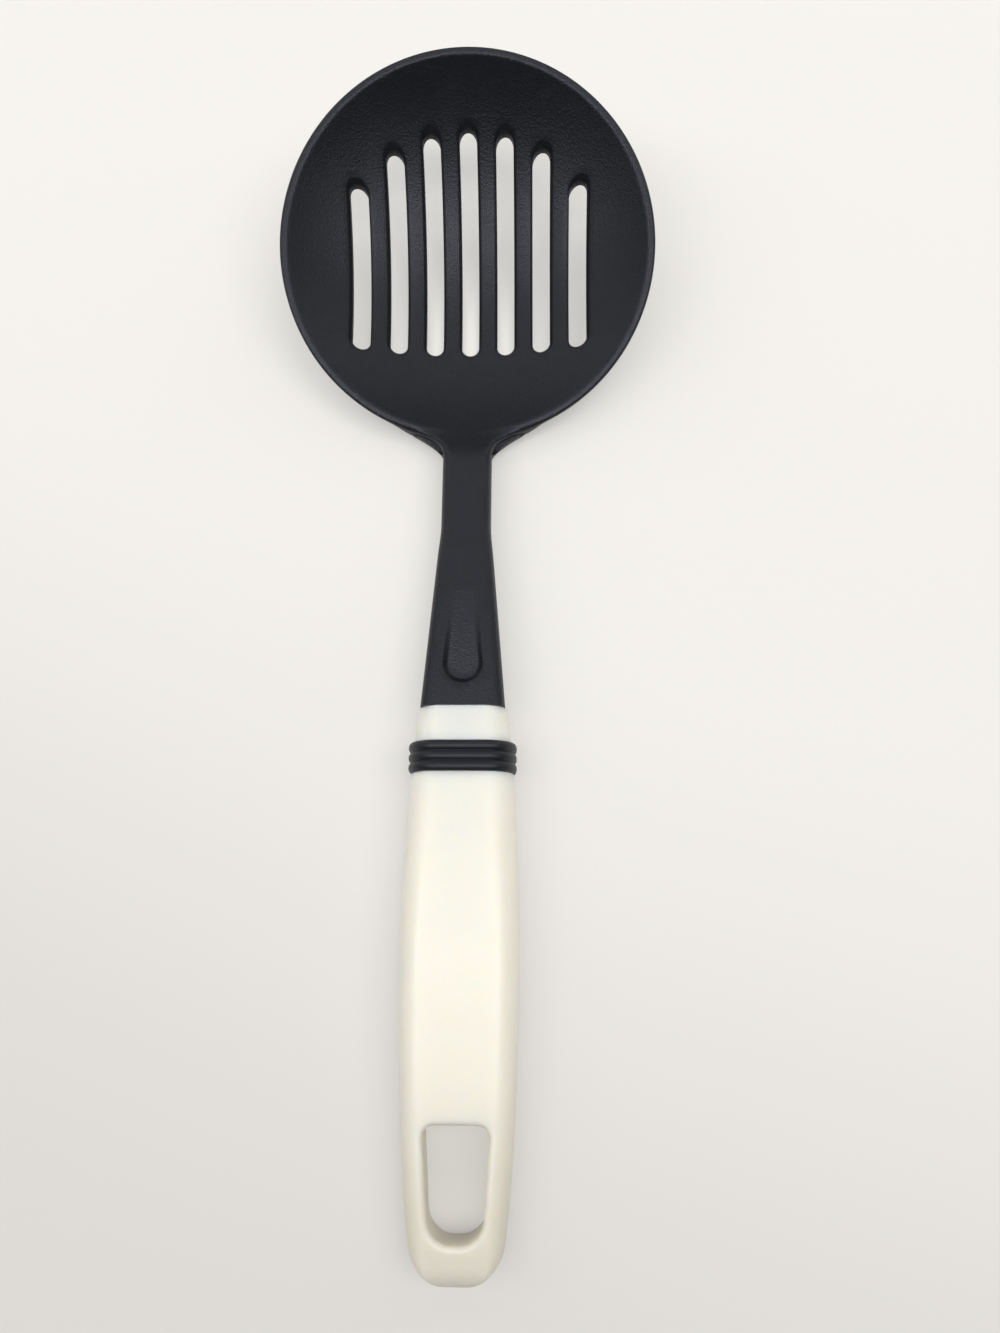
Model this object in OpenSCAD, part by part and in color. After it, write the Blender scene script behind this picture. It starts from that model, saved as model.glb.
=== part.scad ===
// Slotted spoon. A round dished head with draining slots runs into a cranked shank and a
// hidden tang. An ivory moulded handle fits over the tang, and a ribbed ring sits in its groove.
// Y runs from the butt of the handle to the tip of the bowl, and Z is up from the table.

/* [Bowl] */
// Outer diameter of the bowl over its rim
bowl_d = 110; // [98:1:122]
// Depth of the bowl inside, below the plane of the rim
bowl_depth = 20; // [16:0.5:24]
// Wall of the bowl
bowl_wall = 2.7; // [2.2:0.1:3.4]
// Width of the flat rim
rim_w = 2.1; // [1.7:0.1:2.8]
// Radius of the outer edge of the rim
rim_round = 0.8; // [0.3:0.1:1.2]
// Angle by which the tip of the bowl is tipped up
tip_up = 19.6; // [15:0.2:24]

/* [Slots] */
// Number of draining slots
slot_count = 7; // [3:2:7]
// Width of a slot
slot_w = 5.3; // [4.6:0.1:6.4]
// Distance from one slot to the next
slot_pitch = 11; // [9.5:0.1:11.5]
// Distance from the rim to the arc that the far ends of the slots follow
slot_margin = 12; // [10.5:0.5:16]
// Distance by which the centre of that arc lies behind the middle of the bowl
slot_arc_back = 3; // [0:0.5:5]
// Distance from the middle of the bowl to the near end of the middle slot
slot_near = 22; // [16:0.5:26]
// Length by which the outermost slots reach further towards the handle
slot_bow = 1.4; // [0:0.1:3]

/* [Shank] */
// Length from the face of the handle to the middle of the bowl
shank_l = 134; // [122:1:150]
// Width of the straight stretch next to the bowl
shank_w = 14.3; // [12:0.1:16]
// Width where the shank meets the handle
shank_end_w = 23.2; // [19:0.1:23.4]
// Length of the stretch that widens towards the handle
flare_l = 54; // [40:1:60]
// Length over which the straight stretch turns into the widening one
flare_blend = 10; // [6:0.5:16]
// Thickness of the straight stretch
shank_t = 7.6; // [6:0.1:9]
// Thickness where the shank meets the handle
shank_end_t = 9.4; // [8:0.1:10.4]
// Radius of the two long shoulders on top
shoulder_r = 3; // [1.5:0.1:3.6]
// Radius of the two long lower edges
belly_edge_r = 2; // [1:0.1:3]
// Length of the steep neck between the crease and the inside of the rim
neck_l = 9.5; // [7:0.1:12]
// Height of the neck over the inner edge of the rim
neck_step = 0.3; // [0.1:0.05:0.6]
// Height that the neck climbs from the rim to the crease
neck_rise = 3.6; // [2:0.1:5]
// Depth of the neck under the inside of the rim
neck_depth = 5.2; // [4:0.1:6]
// Width of the neck where its curved sides run into the rim
neck_join_w = 34; // [28:0.5:40]
// Length over which the sides of the neck curve out
neck_fillet_l = 10; // [8:0.1:13]
// Width by which the web under the neck stands out past its top
neck_web_w = 0.8; // [0.4:0.1:1.4]
// Distance from the top of the neck down to its web
neck_web_drop = 2.6; // [1.6:0.1:3.4]

/* [Shank recess] */
// Length of the sunken panel on top of the shank
recess_l = 28; // [20:0.5:34]
// Width of the sunken panel at its round end
recess_w = 11; // [8:0.1:12]
// Width of the sunken panel at its far end
recess_far_w = 7.2; // [5:0.1:7.6]
// Depth of the sunken panel at its round end
recess_depth = 1.9; // [1:0.1:2.4]
// Run of the sloping wall of the sunken panel
recess_wall = 1.5; // [0.6:0.1:1.8]
// Plain strip between the round end and the handle
recess_gap = 6.2; // [4:0.1:10]

/* [Handle] */
// Length of the handle from its butt to the face where the shank enters
handle_l = 143.5; // [130:0.5:160]
// Width of the handle at its widest
belly_w = 31.4; // [29:0.1:35]
// Thickness of the handle at its widest
belly_t = 19.2; // [18:0.1:22]
// Distance from the butt to the widest place
belly_at = 79; // [70:1:90]
// Width that the sides head for at the butt
butt_w = 21.8; // [19:0.1:24]
// Thickness of the butt
butt_t = 12.6; // [11.5:0.1:16]
// Length over which the butt rounds off
butt_round = 9.8; // [7:0.1:14]
// Width of the handle where the ring sits
waist_w = 28; // [26.5:0.1:28.8]
// Thickness of the handle where the ring sits
waist_t = 17.4; // [16.5:0.1:18]
// Width of the collar at the face
collar_w = 24.4; // [24:0.1:26]
// Thickness of the collar at the face
collar_t = 15; // [14.4:0.1:16]
// Width of the flat top between the two long creases
top_face_w = 20.4; // [16:0.1:23]
// Radius of the edge round the face of the collar
collar_edge = 0.7; // [0.3:0.1:1.2]

/* [Hanging hole] */
// Length of the hole
hole_l = 27.8; // [20:0.1:30]
// Width of the hole at its wide end
hole_w = 17; // [12:0.1:17.4]
// Width of the hole at its narrow end
hole_narrow_w = 13.1; // [9:0.1:13.4]
// Radius of the corners at the wide end
hole_corner_r = 3; // [1.5:0.1:4]
// Material between the hole and the butt
hole_web = 10.6; // [9.6:0.1:16]
// Radius of the soft edges of the hole
hole_edge_r = 1.4; // [0.6:0.1:1.6]
// Distance by which the walls of the hole lean out towards the underside
hole_draft = 0.6; // [0:0.1:0.8]

/* [Ring] */
// Length of the collar in front of the ring
collar_l = 9.7; // [8:0.1:14]
// Length of the ring along the handle
ring_l = 8.3; // [6:0.1:10]
// Number of ribs round the ring
rib_count = 3; // [2:1:4]
// Height by which the ribs stand proud of the handle
ring_proud = 0.8; // [0.4:0.1:0.9]
// Depth of the valleys between the ribs
rib_depth = 0.7; // [0.4:0.1:1.1]
// Depth of the groove in the handle
groove_depth = 1.5; // [1.2:0.1:2]

/* [Tang] */
// Width of the tang
tang_w = 13; // [10:0.1:15]
// Thickness of the tang
tang_t = 5.6; // [4:0.1:6.4]
// Length of the tang inside the handle
tang_l = 60; // [40:1:64]
// Radius of the corners at the end of the tang
tang_corner_r = 2.5; // [1:0.1:3.5]
// Clearance round the tang and under the ring
fit_gap = 0.12; // [0.05:0.01:0.2]

/* [Hidden] */
// A cut runs past the faces that it opens by this much
overrun = 3;
// Points on each quarter of a section of the handle and of the shank
grip_steps = 10;
shank_steps = 7;
web_steps = 3;
// Points on each corner of a rounded outline
corner_steps = 9;
// Facets of the bowl all round, of the circle that shapes its wall, and of a small circle
bowl_facets = 128;
wall_facets = 360;
small_facets = 48;

// The bowl is a cap of a sphere, and its lowest point touches the table.
rim_in_r = bowl_d / 2 - rim_w;
bowl_in_r = (rim_in_r * rim_in_r + bowl_depth * bowl_depth) / (2 * bowl_depth);
bowl_out_r = bowl_in_r + bowl_wall;
bowl_rise = bowl_in_r - bowl_depth;
rim_y = handle_l + shank_l;
rim_z = bowl_out_r - bowl_rise * cos(tip_up);

// The lower edge of the tipped rim reaches furthest from the butt.
rim_edge_h = sqrt(bowl_out_r * bowl_out_r - pow(bowl_d / 2, 2)) - bowl_rise;
overall_l = rim_y + bowl_d / 2 * cos(tip_up) + rim_edge_h * sin(tip_up);

// The far ends of the slots lie on an arc, and the near ends on a shallow bow.
slot_arc_r = bowl_d / 2 - slot_margin;
slot_last_x = slot_pitch * (slot_count - 1) / 2;

// Stations along the shank are counted from the face of the handle.
neck_run_share = 3;
neck_in_s = shank_l - rim_in_r * cos(tip_up);
neck_in_z = rim_z - rim_in_r * sin(tip_up) + neck_step;
crease_s = neck_in_s - neck_l;
crease_z = neck_in_z + neck_rise;
neck_end_s = neck_in_s + neck_run_share * bowl_wall;
join_s = shank_l - sqrt(pow(bowl_d / 2, 2) - pow(neck_join_w / 2, 2)) * cos(tip_up);
fillet_from_s = join_s - neck_fillet_l;
fillet_power = 2.7;

// Softening of the crease before and after it, as shares of the neck
crease_lead_share = 0.25;
crease_past_share = 0.17;
// Heights of the top and the underside of the neck inside the bowl's wall, as shares of that wall
neck_tip_shares = [0.4, 1.3];
// Radii of the shank at most, as shares of its thickness: shoulder, lower edge, edge of the web
shank_r_shares = [0.4, 0.3, 0.12];
// Radius of the shoulder where the neck meets the rim, as a share of the rim's own radius
join_r_share = 1.5;
// The web swells and dies out again towards the rim.
web_swell_share = 1.6;
web_power = 4;
// Room kept under and over the edge of the web, as shares of its radius
web_room_shares = [1.2, 0.5];

// Heights along the handle: its underside lies on the table between the butt and the waist.
waist_y = handle_l - collar_l - ring_l;
waist_z = ring_proud + fit_gap;
collar_z = waist_z + (waist_t - collar_t) / 2;
groove_y0 = waist_y;
groove_y1 = waist_y + ring_l;
shank_top_z = collar_z + collar_t - collar_edge;
tang_z = shank_top_z - shank_end_t / 2;

// Places along the handle, as shares of the distance from the butt to the widest place
side_at_shares = [0.27, 0.57];
crown_at_share = 0.4;
rest_at_shares = [0.3, 1.2];
// Growth reached at those places, as shares of the growth from the butt to the widest place
side_growth_shares = [0.52, 0.82];
crown_growth_share = 0.65;
// Height of the underside at the butt, as a share of the butt's thickness
butt_z_share = 0.16;
// Fall of the top across the groove, as a share of its length
waist_fall_share = 0.11;
// Height of the widest line of a section, and half the band beside it that stands upright
mid_share = 0.47;
band_share = 0.08;
// Half width of the flat top at the waist, and at most, as shares of its full width and of the section
top_waist_share = 0.36;
top_limit_share = 0.8;
// Powers of the rounding of the butt and of the crease beside the flat top
butt_power = 2.3;
crease_bend = 1.15;

// Straight blend from a to b
function mix(a, b, t) = a + (b - a) * t;
function clamp01(t) = max(0, min(1, t));
function unit(v) = v / norm(v);

// Smooth curve through [station, value] pairs, with no overshoot
function secant(k, i) = (k[i + 1][1] - k[i][1]) / (k[i + 1][0] - k[i][0]);
function tangent(k, i) =
    i == 0 ? secant(k, 0) :
    i == len(k) - 1 ? secant(k, len(k) - 2) :
    let (a = secant(k, i - 1), b = secant(k, i)) a * b <= 0 ? 0 : 2 * a * b / (a + b);
function span_of(k, x, i = 0) = i >= len(k) - 2 || x < k[i + 1][0] ? i : span_of(k, x, i + 1);
function along(k, x) =
    let (i = span_of(k, x), h = k[i + 1][0] - k[i][0], t = clamp01((x - k[i][0]) / h))
    (2 * t * t * t - 3 * t * t + 1) * k[i][1] + (t * t * t - 2 * t * t + t) * h * tangent(k, i) +
    (3 * t * t - 2 * t * t * t) * k[i + 1][1] + (t * t * t - t * t) * h * tangent(k, i + 1);

// Quarter of an oval from angle a0, where bend 1 is round and 2 is a straight bevel
function quarter(cx, cz, rx, rz, a0, bend, steps) = [
    for (i = [0 : steps])
        let (a = a0 + 90 * i / steps, c = cos(a), s = sin(a))
        [cx + rx * sign(c) * pow(abs(c), bend), cz + rz * sign(s) * pow(abs(s), bend)]
];
function mirrored(half) = concat(half, [for (p = backwards(half)) [-p[0], p[1]]]);
function at_y(pts, y) = [for (p = pts) [p[0], y, p[1]]];

// Corner of a rounded outline between the points a and b
function corner(a, p, b, r) =
    let (u = unit(a - p), v = unit(b - p), half = acos(u * v) / 2, c = p + unit(u + v) * r / sin(half),
         q = p + u * r / tan(half) - c, a0 = atan2(q[1], q[0]), turn = 180 - 2 * half)
    [for (i = [0 : corner_steps]) let (a = a0 + turn * i / corner_steps) c + r * [cos(a), sin(a)]];
function rounded(pts, radii) = [
    for (i = [0 : len(pts) - 1])
        each corner(pts[(i + len(pts) - 1) % len(pts)], pts[i], pts[(i + 1) % len(pts)], radii[i])
];
function mean(pts, i = 0) = i == len(pts) ? pts[0] * 0 : pts[i] / len(pts) + mean(pts, i + 1);
function backwards(v) = [for (i = [len(v) - 1 : -1 : 0]) v[i]];

// Skin over a row of rings that have the same number of points
module loft(rings) {
    n = len(rings[0]);
    m = len(rings);
    points = concat([for (r = rings) each r], [mean(rings[0]), mean(rings[m - 1])]);
    sides = [
        for (i = [0 : m - 2], j = [0 : n - 1])
            let (a = i * n + j, b = i * n + (j + 1) % n)
            each [[a, b, b + n], [a, b + n, a + n]]
    ];
    start = [for (j = [0 : n - 1]) [m * n, (j + 1) % n, j]];
    finish = [for (j = [0 : n - 1]) [m * n + 1, (m - 1) * n + j, (m - 1) * n + (j + 1) % n]];
    polyhedron(points = points, faces = concat(sides, start, finish), convexity = 6);
}

// Round solid of the bowl before it is hollowed, with its rim in the XY plane
module bowl_blank() {
    rotate_extrude($fn = bowl_facets)
        intersection() {
            translate([0, bowl_rise])
                circle(r = bowl_out_r, $fn = wall_facets);
            union() {
                translate([0, -bowl_out_r])
                    square([bowl_d / 2, bowl_out_r - rim_round]);
                translate([0, -bowl_out_r])
                    square([bowl_d / 2 - rim_round, bowl_out_r]);
                translate([bowl_d / 2 - rim_round, -rim_round])
                    circle(r = rim_round, $fn = small_facets);
            }
        }
}

// Space inside the bowl, open above the rim
module bowl_space() {
    rotate_extrude($fn = bowl_facets)
        union() {
            intersection() {
                translate([0, bowl_rise])
                    circle(r = bowl_in_r, $fn = wall_facets);
                translate([0, -bowl_in_r])
                    square([rim_in_r, bowl_in_r]);
            }
            square([rim_in_r, bowl_depth]);
        }
}

module at_rim() {
    translate([0, rim_y, rim_z])
        rotate([tip_up, 0, 0])
            children();
}

// One slot, cut straight down as the mould opens
module slot(x) {
    far = rim_y - slot_arc_back + sqrt(slot_arc_r * slot_arc_r - x * x) - slot_w / 2;
    near = rim_y - slot_near - slot_bow * pow(x / slot_last_x, 2) + slot_w / 2;
    translate([x - slot_w / 2, near, -overrun])
        cube([slot_w, far - near, rim_z + bowl_d / 2]);
    for (y = [near, far])
        translate([x, y, -overrun])
            cylinder(d = slot_w, h = rim_z + bowl_d / 2, $fn = small_facets);
}

// Shank: half width, top and underside at a station
function spread(s) = clamp01((s - fillet_from_s) / neck_fillet_l);
function fillet_out(s) = (neck_join_w - shank_w) / 2 * pow(spread(s), fillet_power);
function shank_half(s) = fillet_out(s) + along([
    [0, shank_end_w / 2],
    [flare_l - flare_blend, shank_w / 2 + (shank_end_w - shank_w) / 2 * flare_blend / flare_l],
    [flare_l, shank_w / 2],
    [neck_end_s, shank_w / 2]
], s);
function shank_line(s) = mix(shank_top_z, crease_z, s / crease_s);
function shank_top(s) =
    let (lead_s = crease_s - crease_lead_share * neck_l, past_s = crease_s + crease_past_share * neck_l)
    along([
        [0, shank_top_z],
        [flare_l, shank_line(flare_l)],
        [lead_s, shank_line(lead_s)],
        [past_s, crease_z - crease_past_share * neck_rise],
        [neck_in_s, neck_in_z],
        [neck_end_s, neck_in_z - neck_tip_shares[0] * bowl_wall]
    ], s);
function shank_under(s) = along([
    [0, shank_top_z - shank_end_t],
    [flare_l, shank_top(flare_l) - shank_t],
    [crease_s, shank_top(crease_s) - shank_t],
    [neck_in_s, neck_in_z - neck_depth],
    [neck_end_s, neck_in_z - neck_tip_shares[1] * bowl_wall]
], s);
// The shoulders tighten as the neck spreads into the rim, and a lower web stands out past them.
function shank_section(s) =
    let (half = shank_half(s), zt = shank_top(s), zb = shank_under(s), t = zt - zb, k = spread(s),
         r = min(mix(shoulder_r, join_r_share * rim_round, k), shank_r_shares[0] * t),
         low_r = min(belly_edge_r, shank_r_shares[1] * t),
         web_r = min(rim_round, shank_r_shares[2] * t),
         out = neck_web_w * web_swell_share * k * (1 - pow(k, web_power)),
         web_low = zb + low_r + web_room_shares[0] * web_r,
         web_z = max(web_low, min(zt - neck_web_drop, zt - r - web_room_shares[1] * web_r)))
    mirrored(concat(
        quarter(half + out - low_r, zb + low_r, low_r, low_r, -90, 1, shank_steps),
        quarter(half, web_z - web_r, out, web_r, 0, 1, web_steps),
        quarter(half - r, zt - r, r, r, 0, 1, shank_steps)
    ));
shank_plain_steps = 20;
neck_steps = 16;
neck_from_share = 0.95;
neck_from_s = neck_from_share * crease_s;
shank_stations = concat(
    [for (i = [0 : shank_plain_steps]) neck_from_s * i / shank_plain_steps],
    [for (i = [1 : neck_steps]) mix(neck_from_s, neck_end_s, i / neck_steps)]
);

// Corner radii of the sunken panel, as shares of its width
recess_corner_shares = [0.4, 0.4, 0.25, 0.25];
// Sunken panel: its floor runs out through the sloping top of the shank.
module recess() {
    y0 = handle_l + recess_gap;
    y1 = y0 + recess_l;
    run = [recess_wall, -recess_wall];
    loft([
        for (k = [0, 1])
            backwards([
                for (p = rounded(
                    [[-recess_w / 2 + run[k], y0 + run[k]], [recess_w / 2 - run[k], y0 + run[k]],
                     [recess_far_w / 2 - run[k], y1], [-recess_far_w / 2 + run[k], y1]],
                    [for (share = recess_corner_shares) share * (recess_w - 2 * run[k])]))
                    let (s = p[1] - handle_l, fade = clamp01((y1 - p[1]) / recess_l))
                    [p[0], p[1], shank_top(s) - recess_depth * fade * (1 - k) + recess_depth * k]
            ])
    ]);
}

module tang(gap, y_end) {
    half = tang_w / 2 + gap;
    reach = tang_l + gap;
    translate([0, handle_l, tang_z - tang_t / 2 - gap])
        linear_extrude(tang_t + 2 * gap)
            union() {
                translate([-half, -reach + tang_corner_r])
                    square([2 * half, reach - tang_corner_r + y_end]);
                translate([-half + tang_corner_r, -reach])
                    square([2 * half - 2 * tang_corner_r, reach]);
                for (side = [-1, 1])
                    translate([side * (half - tang_corner_r), -reach + tang_corner_r])
                        circle(r = tang_corner_r, $fn = small_facets);
            }
}

module spoon_head() {
    color([0.12, 0.12, 0.13])
        difference() {
            union() {
                at_rim()
                    bowl_blank();
                loft([for (s = shank_stations) at_y(shank_section(s), handle_l + s)]);
                tang(0, shank_t);
            }
            at_rim()
                bowl_space();
            for (i = [0 : slot_count - 1])
                slot(slot_pitch * i - slot_last_x);
            recess();
        }
}

// Handle: half width, top and underside at a distance y from the butt
function grip_half(y) = along([
    [0, butt_w / 2],
    [side_at_shares[0] * belly_at, mix(butt_w, belly_w, side_growth_shares[0]) / 2],
    [side_at_shares[1] * belly_at, mix(butt_w, belly_w, side_growth_shares[1]) / 2],
    [belly_at, belly_w / 2],
    [waist_y, waist_w / 2],
    [handle_l, collar_w / 2]
], y);
function grip_top(y) = along([
    [0, butt_t],
    [crown_at_share * belly_at, mix(butt_t, belly_t, crown_growth_share)],
    [belly_at, belly_t],
    [waist_y, waist_z + waist_t],
    [groove_y1, waist_z + waist_t - waist_fall_share * ring_l],
    [handle_l, collar_z + collar_t]
], y);
function grip_under(y) = along([
    [0, butt_z_share * butt_t],
    [rest_at_shares[0] * belly_at, 0],
    [rest_at_shares[1] * belly_at, 0],
    [waist_y, waist_z],
    [groove_y1, waist_z],
    [handle_l, collar_z]
], y);
function crease_fade(y) = clamp01((waist_y - y) / (waist_y - belly_at));
// Rounding of the butt, seen from above and from the side
function butt_cap(y, r) = y >= r ? 1 : pow(1 - pow((r - y) / r, butt_power), 1 / butt_power);
function grip_section(y, inset) =
    let (cap = butt_cap(y, butt_round), cap_z = butt_cap(y, butt_t / 2), fade = crease_fade(y),
         half = grip_half(y) * cap - inset, top = grip_top(y), low = grip_under(y),
         mid = mix(low, top, mid_share), bend = mix(1, crease_bend, fade),
         zt = mix(mid, top, cap_z) - inset, zb = mix(mid, low, cap_z) + inset,
         zu = mix(mid, zt, band_share), zl = mix(mid, zb, band_share),
         narrow = min(cap, grip_half(y) / (belly_w / 2)),
         flat = min(mix(top_waist_share * top_face_w, top_face_w / 2, fade) * narrow, top_limit_share * half))
    mirrored(concat(
        quarter(half / 2, zl, half / 2, zl - zb, -90, 1, grip_steps),
        quarter(flat, zu, half - flat, zt - zu, 0, bend, grip_steps)
    ));

grip_body_steps = 22;
grip_butt_steps = 9;
collar_steps = 5;
edge_steps = 3;
function grip_rings() = concat(
    [for (i = [1 : grip_butt_steps])
        let (y = butt_round * (1 - cos(90 * i / grip_butt_steps)))
        at_y(grip_section(y, 0), y)],
    [for (i = [1 : grip_body_steps])
        let (y = mix(butt_round, groove_y0, i / grip_body_steps))
        at_y(grip_section(y, 0), y)],
    [for (y = [groove_y0, groove_y1]) at_y(grip_section(groove_y0, groove_depth), y)],
    [for (i = [0 : collar_steps])
        let (y = mix(groove_y1, handle_l - collar_edge, i / collar_steps))
        at_y(grip_section(y, 0), y)],
    [for (i = [1 : edge_steps])
        let (a = 90 * i / edge_steps)
        at_y(grip_section(handle_l - collar_edge, collar_edge * (1 - cos(a))),
             handle_l - collar_edge * (1 - sin(a)))]
);

// Hole with soft edges that follow the top and the underside of the handle
hole_end_share = 0.47;
hole_edge_steps = 5;
function hole_outline(out) =
    let (end_r = hole_end_share * hole_narrow_w + out, corner_r = hole_corner_r + out)
    rounded(
        [[-hole_narrow_w / 2 - out, hole_web - out], [hole_narrow_w / 2 + out, hole_web - out],
         [hole_w / 2 + out, hole_web + hole_l + out], [-hole_w / 2 - out, hole_web + hole_l + out]],
        [end_r, end_r, corner_r, corner_r]
    );
module hanging_hole() {
    turn = [for (i = [0 : hole_edge_steps]) 90 * i / hole_edge_steps];
    low = [for (a = turn) [hole_edge_r * (1 - sin(a)), hole_edge_r * (1 - cos(a)), 0]];
    high = [for (a = backwards(turn)) [hole_edge_r * (1 - sin(a)), -hole_edge_r * (1 - cos(a)), 1]];
    layers = concat([[hole_edge_r, -overrun, 0]], low, high, [[hole_edge_r, overrun, 1]]);
    loft([
        for (layer = layers)
            backwards([
                for (p = hole_outline(layer[0] + hole_draft * (1 - layer[2])))
                    [p[0], p[1], mix(grip_under(p[1]), grip_top(p[1]), layer[2]) + layer[1]]
            ])
    ]);
}

module handle() {
    color([0.96, 0.94, 0.88])
        difference() {
            loft(grip_rings());
            tang(fit_gap, overrun);
            hanging_hole();
        }
}

// Ribbed ring: rounded ribs outside and a smooth bore that fits the groove
rib_steps = 6;
rib_power = 0.6;
function rib_height(t) = ring_proud - rib_depth * (1 - pow(abs(sin(180 * t)), rib_power));
module grip_ring() {
    lead = fit_gap / 2;
    color([0.13, 0.13, 0.14])
        difference() {
            loft([
                for (i = [0 : rib_count * rib_steps])
                    let (t = i / rib_steps, y = mix(groove_y0 + lead, groove_y1 - lead, t / rib_count),
                         out = rib_height(t - floor(t)))
                    at_y(grip_section(groove_y0, -out), y)
            ]);
            loft([
                for (y = [groove_y0 - overrun, groove_y1 + overrun])
                    at_y(grip_section(groove_y0, groove_depth - fit_gap), y)
            ]);
        }
}

module centred() {
    translate([0, -overall_l / 2, 0])
        children();
}

centred() spoon_head();
centred() handle();
centred() grip_ring();
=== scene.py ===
import math

import bmesh
import bpy
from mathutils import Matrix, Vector, kdtree
from mathutils.geometry import delaunay_2d_cdt


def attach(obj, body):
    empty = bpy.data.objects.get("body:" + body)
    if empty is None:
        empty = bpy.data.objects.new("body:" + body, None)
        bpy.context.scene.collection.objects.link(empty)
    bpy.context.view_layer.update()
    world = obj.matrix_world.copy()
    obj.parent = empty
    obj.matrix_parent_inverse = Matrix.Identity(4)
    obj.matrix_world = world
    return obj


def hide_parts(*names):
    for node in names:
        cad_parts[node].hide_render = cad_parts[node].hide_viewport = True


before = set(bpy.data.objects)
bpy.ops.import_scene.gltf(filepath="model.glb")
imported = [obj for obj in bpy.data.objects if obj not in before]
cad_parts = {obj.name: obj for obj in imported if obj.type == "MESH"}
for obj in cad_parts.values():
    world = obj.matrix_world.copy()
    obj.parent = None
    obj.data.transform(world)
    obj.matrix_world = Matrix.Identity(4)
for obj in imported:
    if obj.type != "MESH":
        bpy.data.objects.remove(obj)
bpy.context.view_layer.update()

# Spoon head: one black nylon moulding of the slotted bowl, the cranked neck and
# the shank with its sunken panel. Its tang is held in the handle's socket.
# Sizes are in millimetres, and s is the distance from the collar towards the bowl.
MM = 0.001
HAIR = 0.01  # keeps the lowest point of the bowl inside the solid's box
BUTT_Y, HANDLE_L, SHANK_L = -164.9495, 143.5, 134.0
FACE_Y = BUTT_Y + HANDLE_L
RIM_Y = FACE_Y + SHANK_L
TIP_UP = math.radians(19.6)
RIM_R, LIP_W, BOWL_DEPTH, WALL, RIM_ROUND = 55.0, 2.1, 20.0, 2.7, 0.8
LIP_R = RIM_R - LIP_W
IN_R = (LIP_R ** 2 + BOWL_DEPTH ** 2) / (2 * BOWL_DEPTH)
OUT_R = IN_R + WALL
RISE = IN_R - BOWL_DEPTH
RIM_Z = OUT_R - RISE * math.cos(TIP_UP) - HAIR
SPHERE_Y = RIM_Y - RISE * math.sin(TIP_UP)
SPHERE_Z = OUT_R

SHANK_W, SHANK_END_W, FLARE, FLARE_BLEND = 14.3, 23.2, 54.0, 10.0
SHANK_T, SHANK_END_T, SHOULDER_R, BELLY_R = 7.6, 9.4, 3.0, 2.0
NECK_L, NECK_RISE, NECK_DEPTH, NECK_STEP = 9.5, 3.6, 5.2, 0.3
NECK_PAST, NECK_SOFT = 6.0, 0.7
JOIN_W, FILLET_L, FILLET_BEND = 34.0, 10.0, 2.7
WEB_OUT, WEB_BACK, WEB_DROP, WEB_TOP, WEB_FALL = 0.75, 0.35, 2.3, 6.75, 1.6
NECK_IN = SHANK_L - LIP_R * math.cos(TIP_UP)
NECK_IN_Z = RIM_Z - LIP_R * math.sin(TIP_UP) + NECK_STEP
CREASE = NECK_IN - NECK_L
CREASE_Z = NECK_IN_Z + NECK_RISE
NECK_END = NECK_IN + 3 * WALL  # hidden in the wall of the bowl
JOIN = SHANK_L - math.sqrt(RIM_R ** 2 - (JOIN_W / 2) ** 2) * math.cos(TIP_UP)
FILLET_FROM = JOIN - FILLET_L
WAIST_Z, WAIST_T, COLLAR_T, COLLAR_EDGE = 0.92, 17.4, 15.0, 0.7
COLLAR_Z = WAIST_Z + (WAIST_T - COLLAR_T) / 2
FACE_TOP = COLLAR_Z + COLLAR_T - COLLAR_EDGE


def mix(a, b, t):
    """The value at share t of the way from a to b."""
    return a + (b - a) * t


def clamp01(t):
    return max(0.0, min(1.0, t))


def ease(t):
    """Smooth step from 0 to 1."""
    t = clamp01(t)
    return t * t * (3 - 2 * t)


def quarter(n):
    """Angles from 0 to 90 degrees in n steps."""
    return [math.pi / 2 * i / n for i in range(n + 1)]


def along(keys, x):
    """Smooth curve through (station, value) pairs, with no overshoot."""
    i = 0
    while i < len(keys) - 2 and x >= keys[i + 1][0]:
        i += 1

    def secant(j):
        return (keys[j + 1][1] - keys[j][1]) / (keys[j + 1][0] - keys[j][0])

    def tangent(j):
        if j == 0:
            return secant(0)
        if j == len(keys) - 1:
            return secant(j - 1)
        a, b = secant(j - 1), secant(j)
        return 0.0 if a * b <= 0 else 2 * a * b / (a + b)

    h = keys[i + 1][0] - keys[i][0]
    t = clamp01((x - keys[i][0]) / h)
    return ((2 * t ** 3 - 3 * t ** 2 + 1) * keys[i][1] + (t ** 3 - 2 * t ** 2 + t) * h * tangent(i)
            + (3 * t ** 2 - 2 * t ** 3) * keys[i + 1][1] + (t ** 3 - t ** 2) * h * tangent(i + 1))


def spread(s):
    """Share of the way from the plain neck to the rim, at a distance from the collar."""
    return clamp01((s - FILLET_FROM) / FILLET_L)


def shank_half(s):
    """Half the width of the shank and neck, with the fillets into the rim."""
    plain = along([(0, SHANK_END_W / 2),
                   (FLARE - FLARE_BLEND, SHANK_W / 2 + (SHANK_END_W - SHANK_W) / 2 * FLARE_BLEND / FLARE),
                   (FLARE, SHANK_W / 2), (NECK_END, SHANK_W / 2)], s)
    return plain + (JOIN_W - SHANK_W) / 2 * spread(s) ** FILLET_BEND


TOP_KEYS = [(0, FACE_TOP), (FLARE, mix(CREASE_Z, FACE_TOP, (CREASE - FLARE) / CREASE)),
            (CREASE - NECK_L / 4, mix(CREASE_Z, FACE_TOP, NECK_L / 4 / CREASE)),
            (CREASE + NECK_L / 6, CREASE_Z - NECK_RISE / 6), (NECK_IN, NECK_IN_Z),
            (NECK_END, NECK_IN_Z - WALL * 0.4)]


def shank_top(s):
    return along(TOP_KEYS, s)


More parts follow.
